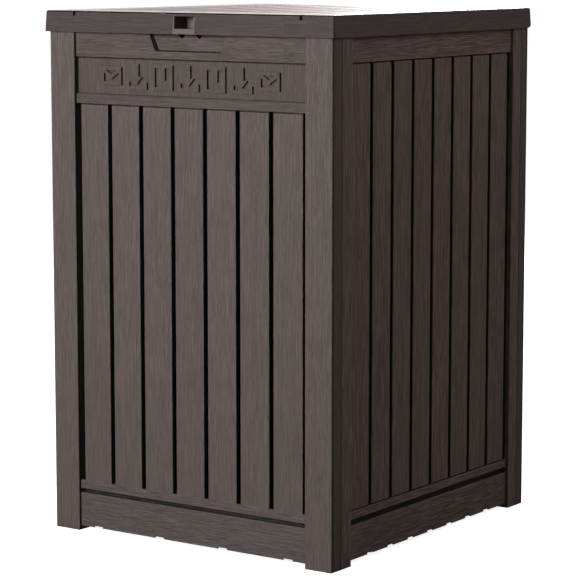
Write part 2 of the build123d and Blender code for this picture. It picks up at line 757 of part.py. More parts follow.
with BuildPart() as lid_liner:
    block((-liner_half_x, liner_half_x), (liner_front, liner_back), (liner_low, liner_high))
    # raised rim and ribs on the hidden side
    rim_ends = (liner_front, ear_slot_front - wall)
    rib_ends = (front_y + liner_rib_margin, back_y - liner_rib_margin)
    for side in (-1, 1):
        across = sorted((side * liner_half_x, side * (liner_half_x - wall)))
        block(across, rim_ends, (liner_high, rim_top))
    for left, right in zip(liner_screw_x, liner_screw_x[1:]):
        x = (left + right) / 2
        block((x - wall / 2, x + wall / 2), rib_ends, (liner_high, rim_top))
    # shallow pressed panel in the underside
    with BuildSketch(Plane.XY.offset(liner_low)) as pressed:
        with Locations((0, middle_y)):
            RectangleRounded(body_width - 2 * pressed_margin, body_depth - 2 * pressed_margin,
                             pressed_corner_radius)
    extrude(amount=pressed_depth, mode=Mode.SUBTRACT)
    for place in hinge_places:
        for side in (-1, 1):
            ends = sorted((place + side * (ear_inner - ear_gap), place + side * hinge_notch))
            block(ends, (ear_slot_front, liner_back), (liner_low - cut_past, liner_high + cut_past),
                  Mode.SUBTRACT)
        block((place - knuckle_width / 2, place + knuckle_width / 2), (hinge_y - knuckle_radius, hinge_y),
              (liner_low, hinge_z))
        with Locations((place, hinge_y, hinge_z)):
            Cylinder(knuckle_radius, knuckle_width, rotation=(0, 90, 0))
            Cylinder(pin_radius + pin_running_clearance, knuckle_width, rotation=(0, 90, 0),
                     mode=Mode.SUBTRACT)
    block((-pocket_half - seat_gap, pocket_half + seat_gap),
          (liner_front - cut_past, pocket_back + seat_gap),
          (liner_low - cut_past, rim_top + cut_past), Mode.SUBTRACT)
    for x, y in liner_screw_places:
        with Locations((x, y, liner_low + liner_thickness / 2)):
            Cylinder(screw_hole_radius, 2 * liner_thickness, mode=Mode.SUBTRACT)

liner_screw = screw(liner_thickness + boss_hole_depth - screw_tip_gap)
with BuildPart() as liner_screws:
    drive(liner_screw, [(x, y, liner_low) for x, y in liner_screw_places], (0, 0, -1))

with BuildPart() as lid_bumpers:
    for x in (-half_width + panel_depth / 2, half_width - panel_depth / 2):
        for y in (front_y + bumper_front, back_y - bumper_back):
            with Locations((x, y, liner_low)):
                Cylinder(bumper_radius, liner_low - wall_top - seat_gap, align=hang_down)

# ------------------------------------------------------------------------- lock pocket
with BuildPart() as lock_pocket:
    # apron, floor, two cheeks and a back; the lid's top closes the pocket above
    block((-pocket_half, pocket_half), (lid_front + apron_inset, pocket_back),
          (skirt_height + seat_gap, pocket_high - seat_gap))
    block((-pocket_width / 2, pocket_width / 2), (lid_front - cut_past, pocket_back - pocket_wall),
          (pocket_low, lid_top), Mode.SUBTRACT)
    # the front leans in with the skirt
    with BuildSketch(Plane.YZ) as lean:
        Polygon(
            (lid_front, skirt_height),
            (lid_front + lid_draft, lid_top),
            (lid_front - wall, lid_top),
            (lid_front - wall, skirt_height),
            align=None,
        )
    extrude(amount=lid_width / 2, both=True, mode=Mode.SUBTRACT)
    # below the floor only the apron goes down to the skirt's edge
    block((-pocket_half, pocket_half), (lid_front + wall, pocket_back),
          (skirt_height, pocket_low - pocket_wall), Mode.SUBTRACT)
    # two slots in the floor for the shackle's legs
    slot_back = pocket_back - pocket_wall - shackle_slot_margin
    for side in (-1, 1):
        middle = side * shackle_slot_offset
        block((middle - shackle_slot_width / 2, middle + shackle_slot_width / 2),
              (slot_back - shackle_slot_length, slot_back),
              (pocket_low - pocket_wall - cut_past, pocket_low + cut_past), Mode.SUBTRACT)
    # flanges that rest on the liner
    for side in (-1, 1):
        ends = sorted((side * pocket_half, side * (pocket_half + pocket_flange)))
        block(ends, (liner_front + wall, pocket_back), (liner_high, liner_high + pocket_wall))

# ------------------------------------------------------------------------------ export
pieces = {
    "front_panel": front_panel,
    "rear_panel": rear_panel,
    "left_panel": left_panel,
    "right_panel": right_panel,
    "floor_panel": floor_panel,
    "front_left_foot_cap": front_left_foot_cap,
    "front_right_foot_cap": front_right_foot_cap,
    "rear_left_foot_cap": rear_left_foot_cap,
    "rear_right_foot_cap": rear_right_foot_cap,
    "front_corner_screws": front_corner_screws,
    "rear_corner_screws": rear_corner_screws,
    "floor_screws": floor_screws,
    "sign_plate": sign_plate,
    "left_hinge_pin": left_hinge_pin,
    "right_hinge_pin": right_hinge_pin,
    "hinge_pin_clips": hinge_pin_clips,
    "lid_shell": lid_shell,
    "lid_liner": lid_liner,
    "liner_screws": liner_screws,
    "lid_bumpers": lid_bumpers,
    "lock_pocket": lock_pocket,
}
for name, piece in pieces.items():
    piece.part.label = name
    export_step(piece.part, f"parts/{name}.step")
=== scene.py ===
import math

import bpy
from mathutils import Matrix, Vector


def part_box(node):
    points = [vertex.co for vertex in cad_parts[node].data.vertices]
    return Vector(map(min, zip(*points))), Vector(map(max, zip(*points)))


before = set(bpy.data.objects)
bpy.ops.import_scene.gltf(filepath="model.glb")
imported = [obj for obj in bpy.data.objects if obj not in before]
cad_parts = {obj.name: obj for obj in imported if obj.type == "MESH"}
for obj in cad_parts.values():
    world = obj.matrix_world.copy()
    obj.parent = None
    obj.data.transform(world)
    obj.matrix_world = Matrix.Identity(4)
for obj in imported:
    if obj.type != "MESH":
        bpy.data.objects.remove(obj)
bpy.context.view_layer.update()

bl_info = {
    "name": "Parcel drop box",
    "version": (1, 0, 0),
    "blender": (4, 5, 0),
    "location": "3D View > Sidebar > Drop Box",
    "description": "Finishes for a slatted resin parcel box, and the stage it stands on",
    "category": "Object",
}

# Lengths are in metres, in the box's own frame: +X right, +Y back, +Z up.
HALF_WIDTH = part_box("front_panel")[1].x
FRONT_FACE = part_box("front_panel")[0].y
REAR_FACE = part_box("rear_panel")[1].y
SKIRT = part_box("lid_shell")[0].z
LID_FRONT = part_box("lid_shell")[0].y
LID_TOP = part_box("lid_shell")[1].z
SIGN_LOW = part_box("sign_plate")[0].z
RAIL_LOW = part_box("sign_plate")[1].z

# Posts: their width across the wall, and how far they return along the side walls.
POST_WIDTH = 0.040
FRONT_RETURN = 0.022
REAR_RETURN = 0.019
# Uprights of the side walls, next to the posts.
FRONT_STILE = 0.0215
REAR_STILE = 0.0205
# Where the slats lie: between the posts, and between the side walls' uprights.
FIELD = HALF_WIDTH - POST_WIDTH
SIDE_FIELD = (FRONT_FACE + FRONT_RETURN + FRONT_STILE, REAR_FACE - REAR_RETURN - REAR_STILE)
FRONT_SLATS = 7
SIDE_SLATS = 8
BASE_SILL_TOP = 0.0676

SIGN_SILL_HEIGHT = 0.013
SIGN_FACE = 0.008  # behind the posts' faces
RECESS_HEIGHT = 0.0226

LID_BORDER = 0.045
LID_CORNER = 0.0042  # the rounded upright edge beside the lid's front
PLANK_PITCH = 0.0504
OUTER_GROOVE = 3.5 * PLANK_PITCH
NOTCH_HALF_WIDTH = 0.0022  # where the outer grooves cut the lid's front edge
NOTCH_HEIGHT = 0.0065

BEYOND = 1.0  # further out than any part of the box
NO_SILL = (0.0, 0.0)

# Numbers that set a moulding's random pattern apart from the slats'.
LEVEL_BOARD = 40.0
LID_EDGE_BOARD = 31.0
SIGN_BOARD = 71.0
PLAIN_BOARD = 5.0

WHITE = (1.0, 1.0, 1.0, 1.0)
BLACK = (0.0, 0.0, 0.0, 1.0)
DUST_COLOUR = (0.42, 0.39, 0.37, 1.0)
DULL_ZINC = (0.3, 0.29, 0.27, 1.0)
FLOOR_BOUNCE = (0.3, 0.25, 0.245, 1.0)  # what the box sees of the floor
FLOOR_GLOW = (0.86, 0.86, 0.86, 1.0)
ROOM_TINT = (1.0, 0.88, 0.87, 1.0)

FLOOR_RADIUS = 40.0
LAMP_TARGET = (0.0, 0.0, 0.4)
# name, setting that holds the power, place, width, colour
LAMPS = (
    ("key_lamp", "key_strength", (-0.45, -3.1, 1.25), 0.9, (1.0, 1.0, 1.0)),
    ("side_lamp", "side_strength", (1.5, 0.25, 1.3), 0.9, (1.0, 0.88, 0.86)),
    ("rear_lamp", "rear_strength", (-1.2, 3.0, 1.4), 1.0, (1.0, 0.95, 0.94)),
)
# The bright backdrop behind the box, which the lid's top mirrors.
BACKDROP_DIRECTION = (-0.57, 0.82, 0.05)
BACKDROP_STRENGTH = 1.8
CEILING_STRENGTH = 0.03

CAMERA_PLACE = (1.84708, -2.66573, 0.76077)
CAMERA_TILT = math.radians(90.0 - 7.91)  # from straight down
CAMERA_TURN = math.radians(34.84)
SENSOR_WIDTH = 36.0
CLIP_END = 200.0


# ------------------------------------------------------------------------------- settings
class ResinSettings(bpy.types.PropertyGroup):
    """Moulded resin of the walls and the lid."""

    colour: bpy.props.FloatVectorProperty(
        name="Resin colour", description="Colour of the walls", subtype="COLOR", size=3,
        min=0.0, max=1.0, default=(0.094, 0.072, 0.068),
    )
    lid_colour: bpy.props.FloatVectorProperty(
        name="Lid colour", description="Colour of the lid's shell", subtype="COLOR", size=3,
        min=0.0, max=1.0, default=(0.046, 0.033, 0.031),
    )
    inside_colour: bpy.props.FloatVectorProperty(
        name="Inside colour", description="Colour of the plain mouldings inside", subtype="COLOR",
        size=3, min=0.0, max=1.0, default=(0.05, 0.04, 0.038),
    )
    grain_width: bpy.props.FloatProperty(
        name="Grain width", description="Distance from one grain line to the next",
        subtype="DISTANCE", unit="LENGTH", min=0.0002, default=0.0008,
    )
    grain_length: bpy.props.FloatProperty(
        name="Grain length", description="Usual length of a grain line",
        subtype="DISTANCE", unit="LENGTH", min=0.01, default=0.028,
    )
    grain_depth: bpy.props.FloatProperty(
        name="Grain depth", description="Depth of the moulded grain",
        subtype="DISTANCE", unit="LENGTH", min=0.0, default=0.0005,
    )
    # painted shade: how far the bottoms of the grooves are darkened
    groove_shade: bpy.props.FloatProperty(
        name="Groove shade", description="How much darker the bottoms of the grooves are",
        subtype="FACTOR", min=0.0, max=1.0, default=0.97,
    )
    dust: bpy.props.FloatProperty(
        name="Dust", description="Fine dust on faces that look up",
        subtype="FACTOR", min=0.0, max=1.0, default=0.06,
    )


class HardwareSettings(bpy.types.PropertyGroup):
    """Screws, hinge pins, foot caps and bumpers."""

    zinc_colour: bpy.props.FloatVectorProperty(
        name="Zinc colour", description="Colour of the plated steel", subtype="COLOR", size=3,
        min=0.0, max=1.0, default=(0.56, 0.57, 0.59),
    )
    cap_colour: bpy.props.FloatVectorProperty(
        name="Cap colour", description="Colour of the caps in the posts' feet", subtype="COLOR",
        size=3, min=0.0, max=1.0, default=(0.02, 0.019, 0.019),
    )
    rubber_colour: bpy.props.FloatVectorProperty(
        name="Rubber colour", description="Colour of the lid's bumpers", subtype="COLOR", size=3,
        min=0.0, max=1.0, default=(0.013, 0.013, 0.014),
    )


class StageSettings(bpy.types.PropertyGroup):
    """Floor, lamps and camera."""

    floor_tone: bpy.props.FloatProperty(
        name="Floor tone", description="Brightness of the floor's paint",
        subtype="FACTOR", min=0.0, max=1.0, default=0.93,
    )
    key_strength: bpy.props.FloatProperty(
        name="Key light", description="Power of the big soft lamp in front", subtype="POWER",
        min=0.0, default=104.0,
    )
    side_strength: bpy.props.FloatProperty(
        name="Side light", description="Power of the soft lamp high on the right", subtype="POWER",
        min=0.0, default=10.0,
    )
    rear_strength: bpy.props.FloatProperty(
        name="Rear light", description="Power of the soft lamp behind on the left", subtype="POWER",
        min=0.0, default=45.0,
    )
    room_light: bpy.props.FloatProperty(
        name="Room light", description="Light that comes from all round the studio",
        min=0.0, default=0.18,
    )
    lens: bpy.props.FloatProperty(
        name="Lens", description="Focal length of the camera", subtype="DISTANCE_CAMERA",
        min=1.0, default=152.7,
    )


# ------------------------------------------------------------------------- node shorthand
class Wiring:
    """Places shader nodes in one tree and joins them."""

    # A Mix node has its own sockets for each kind of value: first, second, result.
    MIX_SOCKETS = {"FLOAT": (2, 3, 0), "VECTOR": (4, 5, 1), "RGBA": (6, 7, 2)}

    def __init__(self, tree):
        self.tree = tree

    def put(self, kind, **settings):
        """Add a node and set its own properties."""
        node = self.tree.nodes.new(kind)
        for name, value in settings.items():
            setattr(node, name, value)
        return node

    def feed(self, socket, value):
        """Join an output to a socket, or set the socket's own value."""
        if isinstance(value, bpy.types.NodeSocket):
            self.tree.links.new(value, socket)
        else:
            socket.default_value = value

    def math(self, operation, *values):
        """A Math node's result."""
        node = self.put("ShaderNodeMath", operation=operation)
        for socket, value in zip(node.inputs, values):
            self.feed(socket, value)
        return node.outputs[0]

    def times(self, first, *others):
        """Values multiplied together."""
        for other in others:
            first = self.math("MULTIPLY", first, other)
        return first

    def plus(self, first, *others):
        """Values added together."""
        for other in others:
            first = self.math("ADD", first, other)
        return first

    def minus(self, first, second):
        """The first value less the second."""
        return self.math("SUBTRACT", first, second)

    def size(self, value):
        """A value without its sign."""
        return self.math("ABSOLUTE", value)

    def over(self, value, limit):
        """1 where a value is over its limit, and 0 elsewhere."""
        return self.math("GREATER_THAN", value, limit)

    def under(self, value, limit):
        """1 where a value is under its limit, and 0 elsewhere."""
        return self.math("LESS_THAN", value, limit)

    def vector(self, operation, *values):
        """A Vector Math node's result; a dot product gives a number."""
        node = self.put("ShaderNodeVectorMath", operation=operation)
        for socket, value in zip(node.inputs, values):
            self.feed(socket, value)
        return node.outputs["Value" if operation == "DOT_PRODUCT" else "Vector"]

    def ramp(self, value, low, high, start=0.0, end=1.0):
        """A smooth step of a value from one range to another."""
        node = self.put("ShaderNodeMapRange", interpolation_type="SMOOTHSTEP")
        for name, number in (
            ("Value", value), ("From Min", low), ("From Max", high), ("To Min", start), ("To Max", end),
        ):
            self.feed(node.inputs[name], number)
        return node.outputs["Result"]

    def blend(self, share, first, second, kind="RGBA"):
        """A colour, FLOAT or VECTOR between two."""
        low, high, result = self.MIX_SOCKETS[kind]
        node = self.put("ShaderNodeMix", data_type=kind)
        self.feed(node.inputs[0], share)
        self.feed(node.inputs[low], first)
        self.feed(node.inputs[high], second)
        return node.outputs[result]

    def noise(self, place, scale, detail=4.0, roughness=0.55, seed=0.0):
        """A noise value about one half."""
        node = self.put("ShaderNodeTexNoise", noise_dimensions="4D")
        self.feed(node.inputs["Vector"], place)
        self.feed(node.inputs["W"], seed)
        node.inputs["Scale"].default_value = scale
        node.inputs["Detail"].default_value = detail
        node.inputs["Roughness"].default_value = roughness
        return node.outputs[0]

    def split(self, vector):
        """The three parts of a vector."""
        node = self.put("ShaderNodeSeparateXYZ")
        self.feed(node.inputs[0], vector)
        return node.outputs

    def facing(self):
        """Which way the surface faces, in the box's own frame, as three parts."""
        return self.split(self.put("ShaderNodeTexCoord").outputs["Normal"])


def make_group(name, inputs, outputs):
    """Start a shader node group with named sockets.

    Inputs are given as name: default, and outputs as plain names.
    """
    tree = bpy.data.node_groups.new(name, "ShaderNodeTree")
    for label, default in inputs.items():
        kind = "NodeSocketFloat" if isinstance(default, (int, float)) else "NodeSocketVector"
        socket = tree.interface.new_socket(label, in_out="INPUT", socket_type=kind)
        socket.default_value = default
    for label in outputs:
        tree.interface.new_socket(label, in_out="OUTPUT", socket_type="NodeSocketFloat")
    wires = Wiring(tree)
    given = wires.put("NodeGroupInput").outputs
    result = wires.put("NodeGroupOutput").inputs
    return wires, given, result


def use_group(wires, name, **values):
    """Place a group in a material and give its inputs their values."""
    node = wires.put("ShaderNodeGroup", node_tree=bpy.data.node_groups[name])
    for label, value in values.items():
        wires.feed(node.inputs[label.replace("_", " ")], value)
    return node.outputs


# ---------------------------------------------------------------------------- node groups
def build_moulded_grain():
    """Fine wood grain: a height, a streak value, and short dark pores."""
    wires, given, result = make_group(
        "moulded grain",
        {"Position": (0, 0, 0), "Stretch": (1, 1, 1), "Board": 0.0},
        ("Height", "Streak", "Pores"),
    )
    seed_step = 3.7
    pore_seed = 9.0
    wander_reach = 2.0  # in grain widths
    fine_share = 0.8
    pore_depth = 0.5
    seed = wires.times(given["Board"], seed_step)
    wander = wires.noise(given["Position"], scale=9.0, detail=2.0, roughness=0.5, seed=seed)
    place = wires.vector("MULTIPLY", given["Position"], given["Stretch"])
    place = wires.vector("ADD", place, wires.times(wander, wander_reach))
    broad = wires.noise(place, scale=0.3, detail=2.0, seed=seed)
    fine = wires.noise(place, scale=1.0, detail=2.0, roughness=0.6, seed=seed)
    pores = wires.noise(
        place, scale=0.75, detail=1.0, roughness=0.5, seed=wires.plus(seed, pore_seed)
    )
    mixed = wires.plus(wires.times(fine, fine_share), wires.times(broad, 1.0 - fine_share))
    pitted = wires.ramp(pores, low=0.55, high=0.63)
    raised = wires.ramp(mixed, low=0.34, high=0.66)
    wires.feed(result["Streak"], wires.ramp(mixed, low=0.4, high=0.6))
    wires.feed(result["Pores"], pitted)
    wires.feed(result["Height"], wires.minus(raised, wires.times(pitted, pore_depth)))


def build_board_layout():
    """Which way a wall's grain runs, and a number for each of its boards."""
    wires, given, result = make_group(
        "board layout",
        {
            "Position": (0, 0, 0), "Along": (1, 0, 0), "Field Low": 0.0, "Field High": 1.0,
            "Boards": 7.0, "Lower Top": 0.0, "Sill Low": 0.0, "Sill High": 0.0, "Rail Low": 0.0,
        },
        ("Level", "Board"),
    )
    rows_per_metre = 18.0
    along = wires.vector("DOT_PRODUCT", given["Position"], given["Along"])
    height = wires.split(given["Position"])["Z"]
    inside = wires.times(
        wires.over(along, given["Field Low"]), wires.under(along, given["Field High"])
    )
    lower = wires.under(height, given["Lower Top"])
    rail = wires.over(height, given["Rail Low"])
    sill = wires.times(
        wires.over(height, given["Sill Low"]), wires.under(height, given["Sill High"])
    )
    level = wires.math("MAXIMUM", wires.math("MAXIMUM", lower, rail), sill)
    level = wires.times(level, inside)
    span = wires.minus(given["Field High"], given["Field Low"])
    share = wires.math("DIVIDE", wires.minus(along, given["Field Low"]), span)
    slat = wires.math("FLOOR", wires.times(share, given["Boards"]))
    row = wires.math("FLOOR", wires.times(height, rows_per_metre))
    board = wires.blend(level, slat, wires.plus(row, LEVEL_BOARD), kind="FLOAT")
    wires.feed(result["Level"], level)
    wires.feed(result["Board"], board)


def build_groove_mask():
    """Surfaces between two depths behind a wall's face, two heights and two posts."""
    wires, given, result = make_group(
        "groove mask",
        {
            "Position": (0, 0, 0), "Inwards": (0, 1, 0), "Face": 0.0, "Start": 0.0054,
            "Full": 0.0064, "End": 0.0142, "Low": 0.0, "High": 1.0, "Half Width": 1.0,
        },
        ("Mask",),
    )
    inwards = wires.vector("DOT_PRODUCT", given["Position"], given["Inwards"])
    depth = wires.minus(inwards, given["Face"])
    parts = wires.split(given["Position"])
    wires.feed(result["Mask"], wires.times(
        wires.ramp(depth, given["Start"], given["Full"]),
        wires.under(depth, given["End"]),
        wires.over(parts["Z"], given["Low"]),
        wires.under(parts["Z"], given["High"]),
        wires.under(wires.size(parts["X"]), given["Half Width"]),
    ))


def build_cavity_shade():
    """Painted shade in corners and seams, from how open the surface is."""
    wires, given, result = make_group("cavity mask", {"Reach": 0.008}, ("Mask",))
    openness = wires.put("ShaderNodeAmbientOcclusion", samples=6, only_local=False)
    wires.feed(openness.inputs["Distance"], given["Reach"])
    closed = wires.ramp(openness.outputs["AO"], low=0.2, high=0.62, start=1.0, end=0.0)
    wires.feed(result["Mask"], closed)


def build_worn_edges_and_highlight():
    """Edges that handling has polished and that carry a painted highlight, from how a rounded edge
    would turn.
    """
    wires, given, result = make_group(
        "worn edges", {"Position": (0, 0, 0), "Radius": 0.0012}, ("Mask",)
    )
    rounded = wires.put("ShaderNodeBevel", samples=4)
    wires.feed(rounded.inputs["Radius"], given["Radius"])
    true_normal = wires.put("ShaderNodeNewGeometry").outputs["Normal"]
    alike = wires.vector("DOT_PRODUCT", rounded.outputs["Normal"], true_normal)
    worn_edge_highlight = wires.ramp(wires.minus(1.0, alike), low=0.01, high=0.1)
    rubbed = wires.noise(given["Position"], scale=60.0, detail=3.0)
    patchy = wires.ramp(rubbed, low=0.35, high=0.65, start=0.35)
    wires.feed(result["Mask"], wires.times(worn_edge_highlight, patchy))


def build_dust_film():
    """Thin dust on faces that look up."""
    wires, given, result = make_group(
        "dust film", {"Position": (0, 0, 0), "Amount": 0.1}, ("Mask",)
    )
    up = wires.ramp(wires.facing()["Z"], low=0.55, high=0.95)
    settled = wires.noise(given["Position"], scale=22.0, detail=5.0, roughness=0.6)
    cloudy = wires.ramp(settled, low=0.3, high=0.75, start=0.35)
    wires.feed(result["Mask"], wires.times(up, cloudy, given["Amount"]))


def build_tone_patches():
    """Slow change of tone over a moulding and from board to board."""
    wires, given, result = make_group(
        "tone patches", {"Position": (0, 0, 0), "Board": 0.0}, ("Tone",)
    )
    seed_step = 1.9
    patch_share = 0.75
    seed = wires.times(given["Board"], seed_step)
    slow = wires.noise(given["Position"], scale=6.0, detail=3.0, roughness=0.5, seed=seed)
    each = wires.put("ShaderNodeTexWhiteNoise", noise_dimensions="1D")
    wires.feed(each.inputs["W"], given["Board"])
    own_tone = wires.times(each.outputs["Value"], 1.0 - patch_share)
    wires.feed(result["Tone"], wires.plus(wires.times(slow, patch_share), own_tone))


# ------------------------------------------------------------------------------ materials
def start_material(name):
    """A material with its Principled shader, ready for more nodes."""
    material = bpy.data.materials.new(name)
    material.use_nodes = True
    wires = Wiring(material.node_tree)
    shader = material.node_tree.nodes["Principled BSDF"]
    position = wires.put("ShaderNodeTexCoord").outputs["Object"]
    return material, wires, shader, position


def tinted(colour, factor):
    """A colour made lighter or darker, with full alpha."""
    return (*(part * factor for part in colour), 1.0)


def resin_colour(wires, shader, colour, grain, tone, dark_masks, dust, worn_edge_highlight=None, contrast=0.2):
    """Colour of a grained moulding: streaks, pores, patches, a painted highlight on worn edges, painted
    shade in dark places, dust.

    dark_masks holds pairs of a mask and how far it takes the colour towards black; most of them paint
    shade.
    """
    pore_share = 1.4 * contrast
    body = wires.blend(
        grain["Streak"], tinted(colour, 1.0 - contrast), tinted(colour, 1.0 + contrast)
    )
    body = wires.blend(wires.times(grain["Pores"], pore_share), body, tinted(colour, 0.4))
    body = wires.blend(wires.ramp(tone, low=0.3, high=0.7, end=0.35), body, tinted(colour, 0.8))
    # painted highlight: the worn edges are made lighter
    if worn_edge_highlight is not None:
        body = wires.blend(wires.times(worn_edge_highlight, 0.7), body, tinted(colour, 2.2))
    # painted shade: each dark mask takes the colour towards black
    for mask, share in dark_masks:
        body = wires.blend(wires.times(mask, share), body, tinted(colour, 0.04))
    wires.feed(shader.inputs["Base Color"], wires.blend(dust, body, DUST_COLOUR))


def resin_roughness(wires, shader, streak, dust, worn_edge_highlight):
    """Roughness of the walls: streaks and worn edges are smoother, and dust is rougher."""
    plain = 0.6
    rough = wires.plus(wires.times(streak, -0.08), plain, wires.times(dust, 0.25))
    wires.feed(shader.inputs["Roughness"], wires.minus(rough, wires.times(worn_edge_highlight, 0.12)))


def raise_grain(wires, shader, height, depth, strength=0.85):
    """Turn a grain height into the shader's normal."""
    bump = wires.put("ShaderNodeBump")
    bump.inputs["Strength"].default_value = strength
    bump.inputs["Distance"].default_value = depth
    wires.feed(bump.inputs["Height"], height)
    wires.feed(shader.inputs["Normal"], bump.outputs["Normal"])


def grain_stretch(settings, direction):
    """How much the grain is drawn out along each axis, for lines along one of them."""
    across = 1.0 / settings.grain_width
    along = 1.0 / settings.grain_length
    return tuple(along if axis == direction else across for axis in "XYZ")


def post_return_masks(wires, position, inwards, face, post_depth):
    """Painted shade where a post turns the corner, each with its share.

    It falls on the return itself, on a dark line beside the corner, and on the seam with the side wall.
    """
    turned = wires.ramp(wires.size(wires.facing()["X"]), low=0.6, high=0.95)
    depth = wires.minus(wires.vector("DOT_PRODUCT", position, inwards), face)
    corner_shade_line = wires.ramp(depth, low=0.0036, high=0.0050, start=1.0, end=0.0)
    seam_shade = wires.ramp(depth, low=post_depth - 0.0022, high=post_depth - 0.0012)
    return [(turned, 0.4), (wires.times(turned, corner_shade_line), 0.95), (wires.times(turned, seam_shade), 0.9)]


def wall_resin(name, settings, across, inwards, face, field, boards, sill=NO_SILL, recess=None,
               post_depth=None):
    """Resin of a slatted wall: upright grain on posts and slats, level on boards.

    across is the axis that the wall runs along, recess the height of the finger recess's lower
    edge, and post_depth how far the wall's own posts return round the corner.
    """
    material, wires, shader, position = start_material(name)
    along = tuple(1.0 if axis == across else 0.0 for axis in "XYZ")
    has_posts = post_depth is not None
    layout = use_group(
        wires, "board layout", Position=position, Along=along, Field_Low=field[0],
        Field_High=field[1], Boards=boards, Lower_Top=BASE_SILL_TOP, Sill_Low=sill[0],
        Sill_High=sill[1], Rail_Low=RAIL_LOW,
    )
    stretch = wires.blend(
        layout["Level"], grain_stretch(settings, "Z"), grain_stretch(settings, across), kind="VECTOR"
    )
    board = layout["Board"]
    grain = use_group(wires, "moulded grain", Position=position, Stretch=stretch, Board=board)
    tone = use_group(wires, "tone patches", Position=position, Board=board)
    cavity_shade = use_group(wires, "cavity mask", Reach=0.006)
    worn_edge_highlight = use_group(wires, "worn edges", Position=position, Radius=0.0020)
    dust = use_group(wires, "dust film", Position=position, Amount=settings.dust)
    # the posts' returns lie outside the field, and have masks of their own
    reach = FIELD if has_posts else BEYOND
    groove = use_group(
        wires, "groove mask", Position=position, Inwards=inwards, Face=face,
        High=recess or BEYOND, Half_Width=reach,
    )
    # painted shade in the grooves and in cavities
    masks = [(groove["Mask"], settings.groove_shade), (cavity_shade["Mask"], 0.75)]
    # painted shade on the finger recess's flanks
    if recess:
        flank_shade = use_group(
            wires, "groove mask", Position=position, Inwards=inwards, Face=face, Start=0.0043,
            Full=0.0050, End=0.0102, Low=recess - 0.001, Half_Width=reach,
        )
        masks.append((flank_shade["Mask"], 0.95))
    if has_posts:
        # painted shade where the posts turn the corner
        masks += post_return_masks(wires, position, inwards, face, post_depth)
        # the level boards are made a little darker than the slats
        masks.append((layout["Level"], 0.17))
    # painted light: the side walls' grain gets stronger flecks, standing in for light that grazes these
    # walls
    contrast = 0.17 if has_posts else 0.5
    resin_colour(
        wires, shader, settings.colour, grain, tone["Tone"], masks, dust["Mask"], worn_edge_highlight["Mask"],
        contrast,
    )
    resin_roughness(wires, shader, grain["Streak"], dust["Mask"], worn_edge_highlight["Mask"])
    shader.inputs["Specular IOR Level"].default_value = 0.45
    raise_grain(wires, shader, grain["Height"], settings.grain_depth)
    return material


def give(node, material):
    """Put one material on a CAD node."""
    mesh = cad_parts[node].data
    mesh.materials.clear()
    mesh.materials.append(material)


class FinishOperator(bpy.types.Operator):
    """Shared start of the operators that finish a piece."""

    bl_options = {"REGISTER", "UNDO"}


class DROPBOX_OT_front_wall(FinishOperator):
    """Grained resin on the front wall and its two posts"""

    bl_idname = "dropbox.front_wall"
    bl_label = "Front Wall"

    def execute(self, context):
        give("front_panel", wall_resin(
            "front resin", context.scene.drop_box_resin, "X", (0, 1, 0), FRONT_FACE, (-FIELD, FIELD),
            FRONT_SLATS, sill=(SIGN_LOW - SIGN_SILL_HEIGHT, SIGN_LOW), recess=SKIRT - RECESS_HEIGHT,
            post_depth=FRONT_RETURN,
        ))
        return {"FINISHED"}


class DROPBOX_OT_rear_wall(FinishOperator):
    """Grained resin on the rear wall and its two posts"""

    bl_idname = "dropbox.rear_wall"
    bl_label = "Rear Wall"

    def execute(self, context):
        give("rear_panel", wall_resin(
            "rear resin", context.scene.drop_box_resin, "X", (0, -1, 0), -REAR_FACE, (-FIELD, FIELD),
            FRONT_SLATS, post_depth=REAR_RETURN,
        ))
        return {"FINISHED"}


class DROPBOX_OT_side_walls(FinishOperator):
    """Grained resin on the two side walls"""

    bl_idname = "dropbox.side_walls"
    bl_label = "Side Walls"

    def execute(self, context):
        for side, inwards in (("left", 1), ("right", -1)):
            give(f"{side}_panel", wall_resin(
                f"{side} resin", context.scene.drop_box_resin, "Y", (inwards, 0, 0), -HALF_WIDTH,
                SIDE_FIELD, SIDE_SLATS,
            ))
        return {"FINISHED"}


class DROPBOX_OT_sign(FinishOperator):
    """Upright grain on the sign plate, with painted shade round its raised symbols"""

    bl_idname = "dropbox.sign"
    bl_label = "Sign Plate"

    def execute(self, context):
        resin = context.scene.drop_box_resin
        material, wires, shader, position = start_material("sign resin")
        stretch = grain_stretch(resin, "Z")
        grain = use_group(
            wires, "moulded grain", Position=position, Stretch=stretch, Board=SIGN_BOARD
        )
        tone = use_group(wires, "tone patches", Position=position, Board=SIGN_BOARD)
        cavity_shade = use_group(wires, "cavity mask", Reach=0.005)
        worn_edge_highlight = use_group(wires, "worn edges", Position=position, Radius=0.0014)
        dust = use_group(wires, "dust film", Position=position, Amount=resin.dust)
        parts = wires.split(position)
        # painted shade: dark lines for the shadow under the rail, and on the flanks of the symbols
        seam_shade = wires.ramp(parts["Z"], low=RAIL_LOW - 0.0022, high=RAIL_LOW - 0.0014)
        depth = wires.minus(parts["Y"], FRONT_FACE)
        turned = wires.ramp(wires.size(wires.facing()["X"]), low=0.25, high=0.5)
        flank_shade = wires.times(turned, wires.under(depth, SIGN_FACE))
        masks = ((cavity_shade["Mask"], 0.95), (seam_shade, 0.95), (flank_shade, 0.97))
        plate_shade = 0.80
        plate_colour = tuple(plate_shade * channel for channel in resin.colour)
        resin_colour(
            wires, shader, plate_colour, grain, tone["Tone"], masks, dust["Mask"], worn_edge_highlight["Mask"],
            contrast=0.15,
        )
        resin_roughness(wires, shader, grain["Streak"], dust["Mask"], worn_edge_highlight["Mask"])
        shader.inputs["Specular IOR Level"].default_value = 0.3
        raise_grain(wires, shader, grain["Height"], 0.7 * resin.grain_depth)
        give("sign_plate", material)
        return {"FINISHED"}


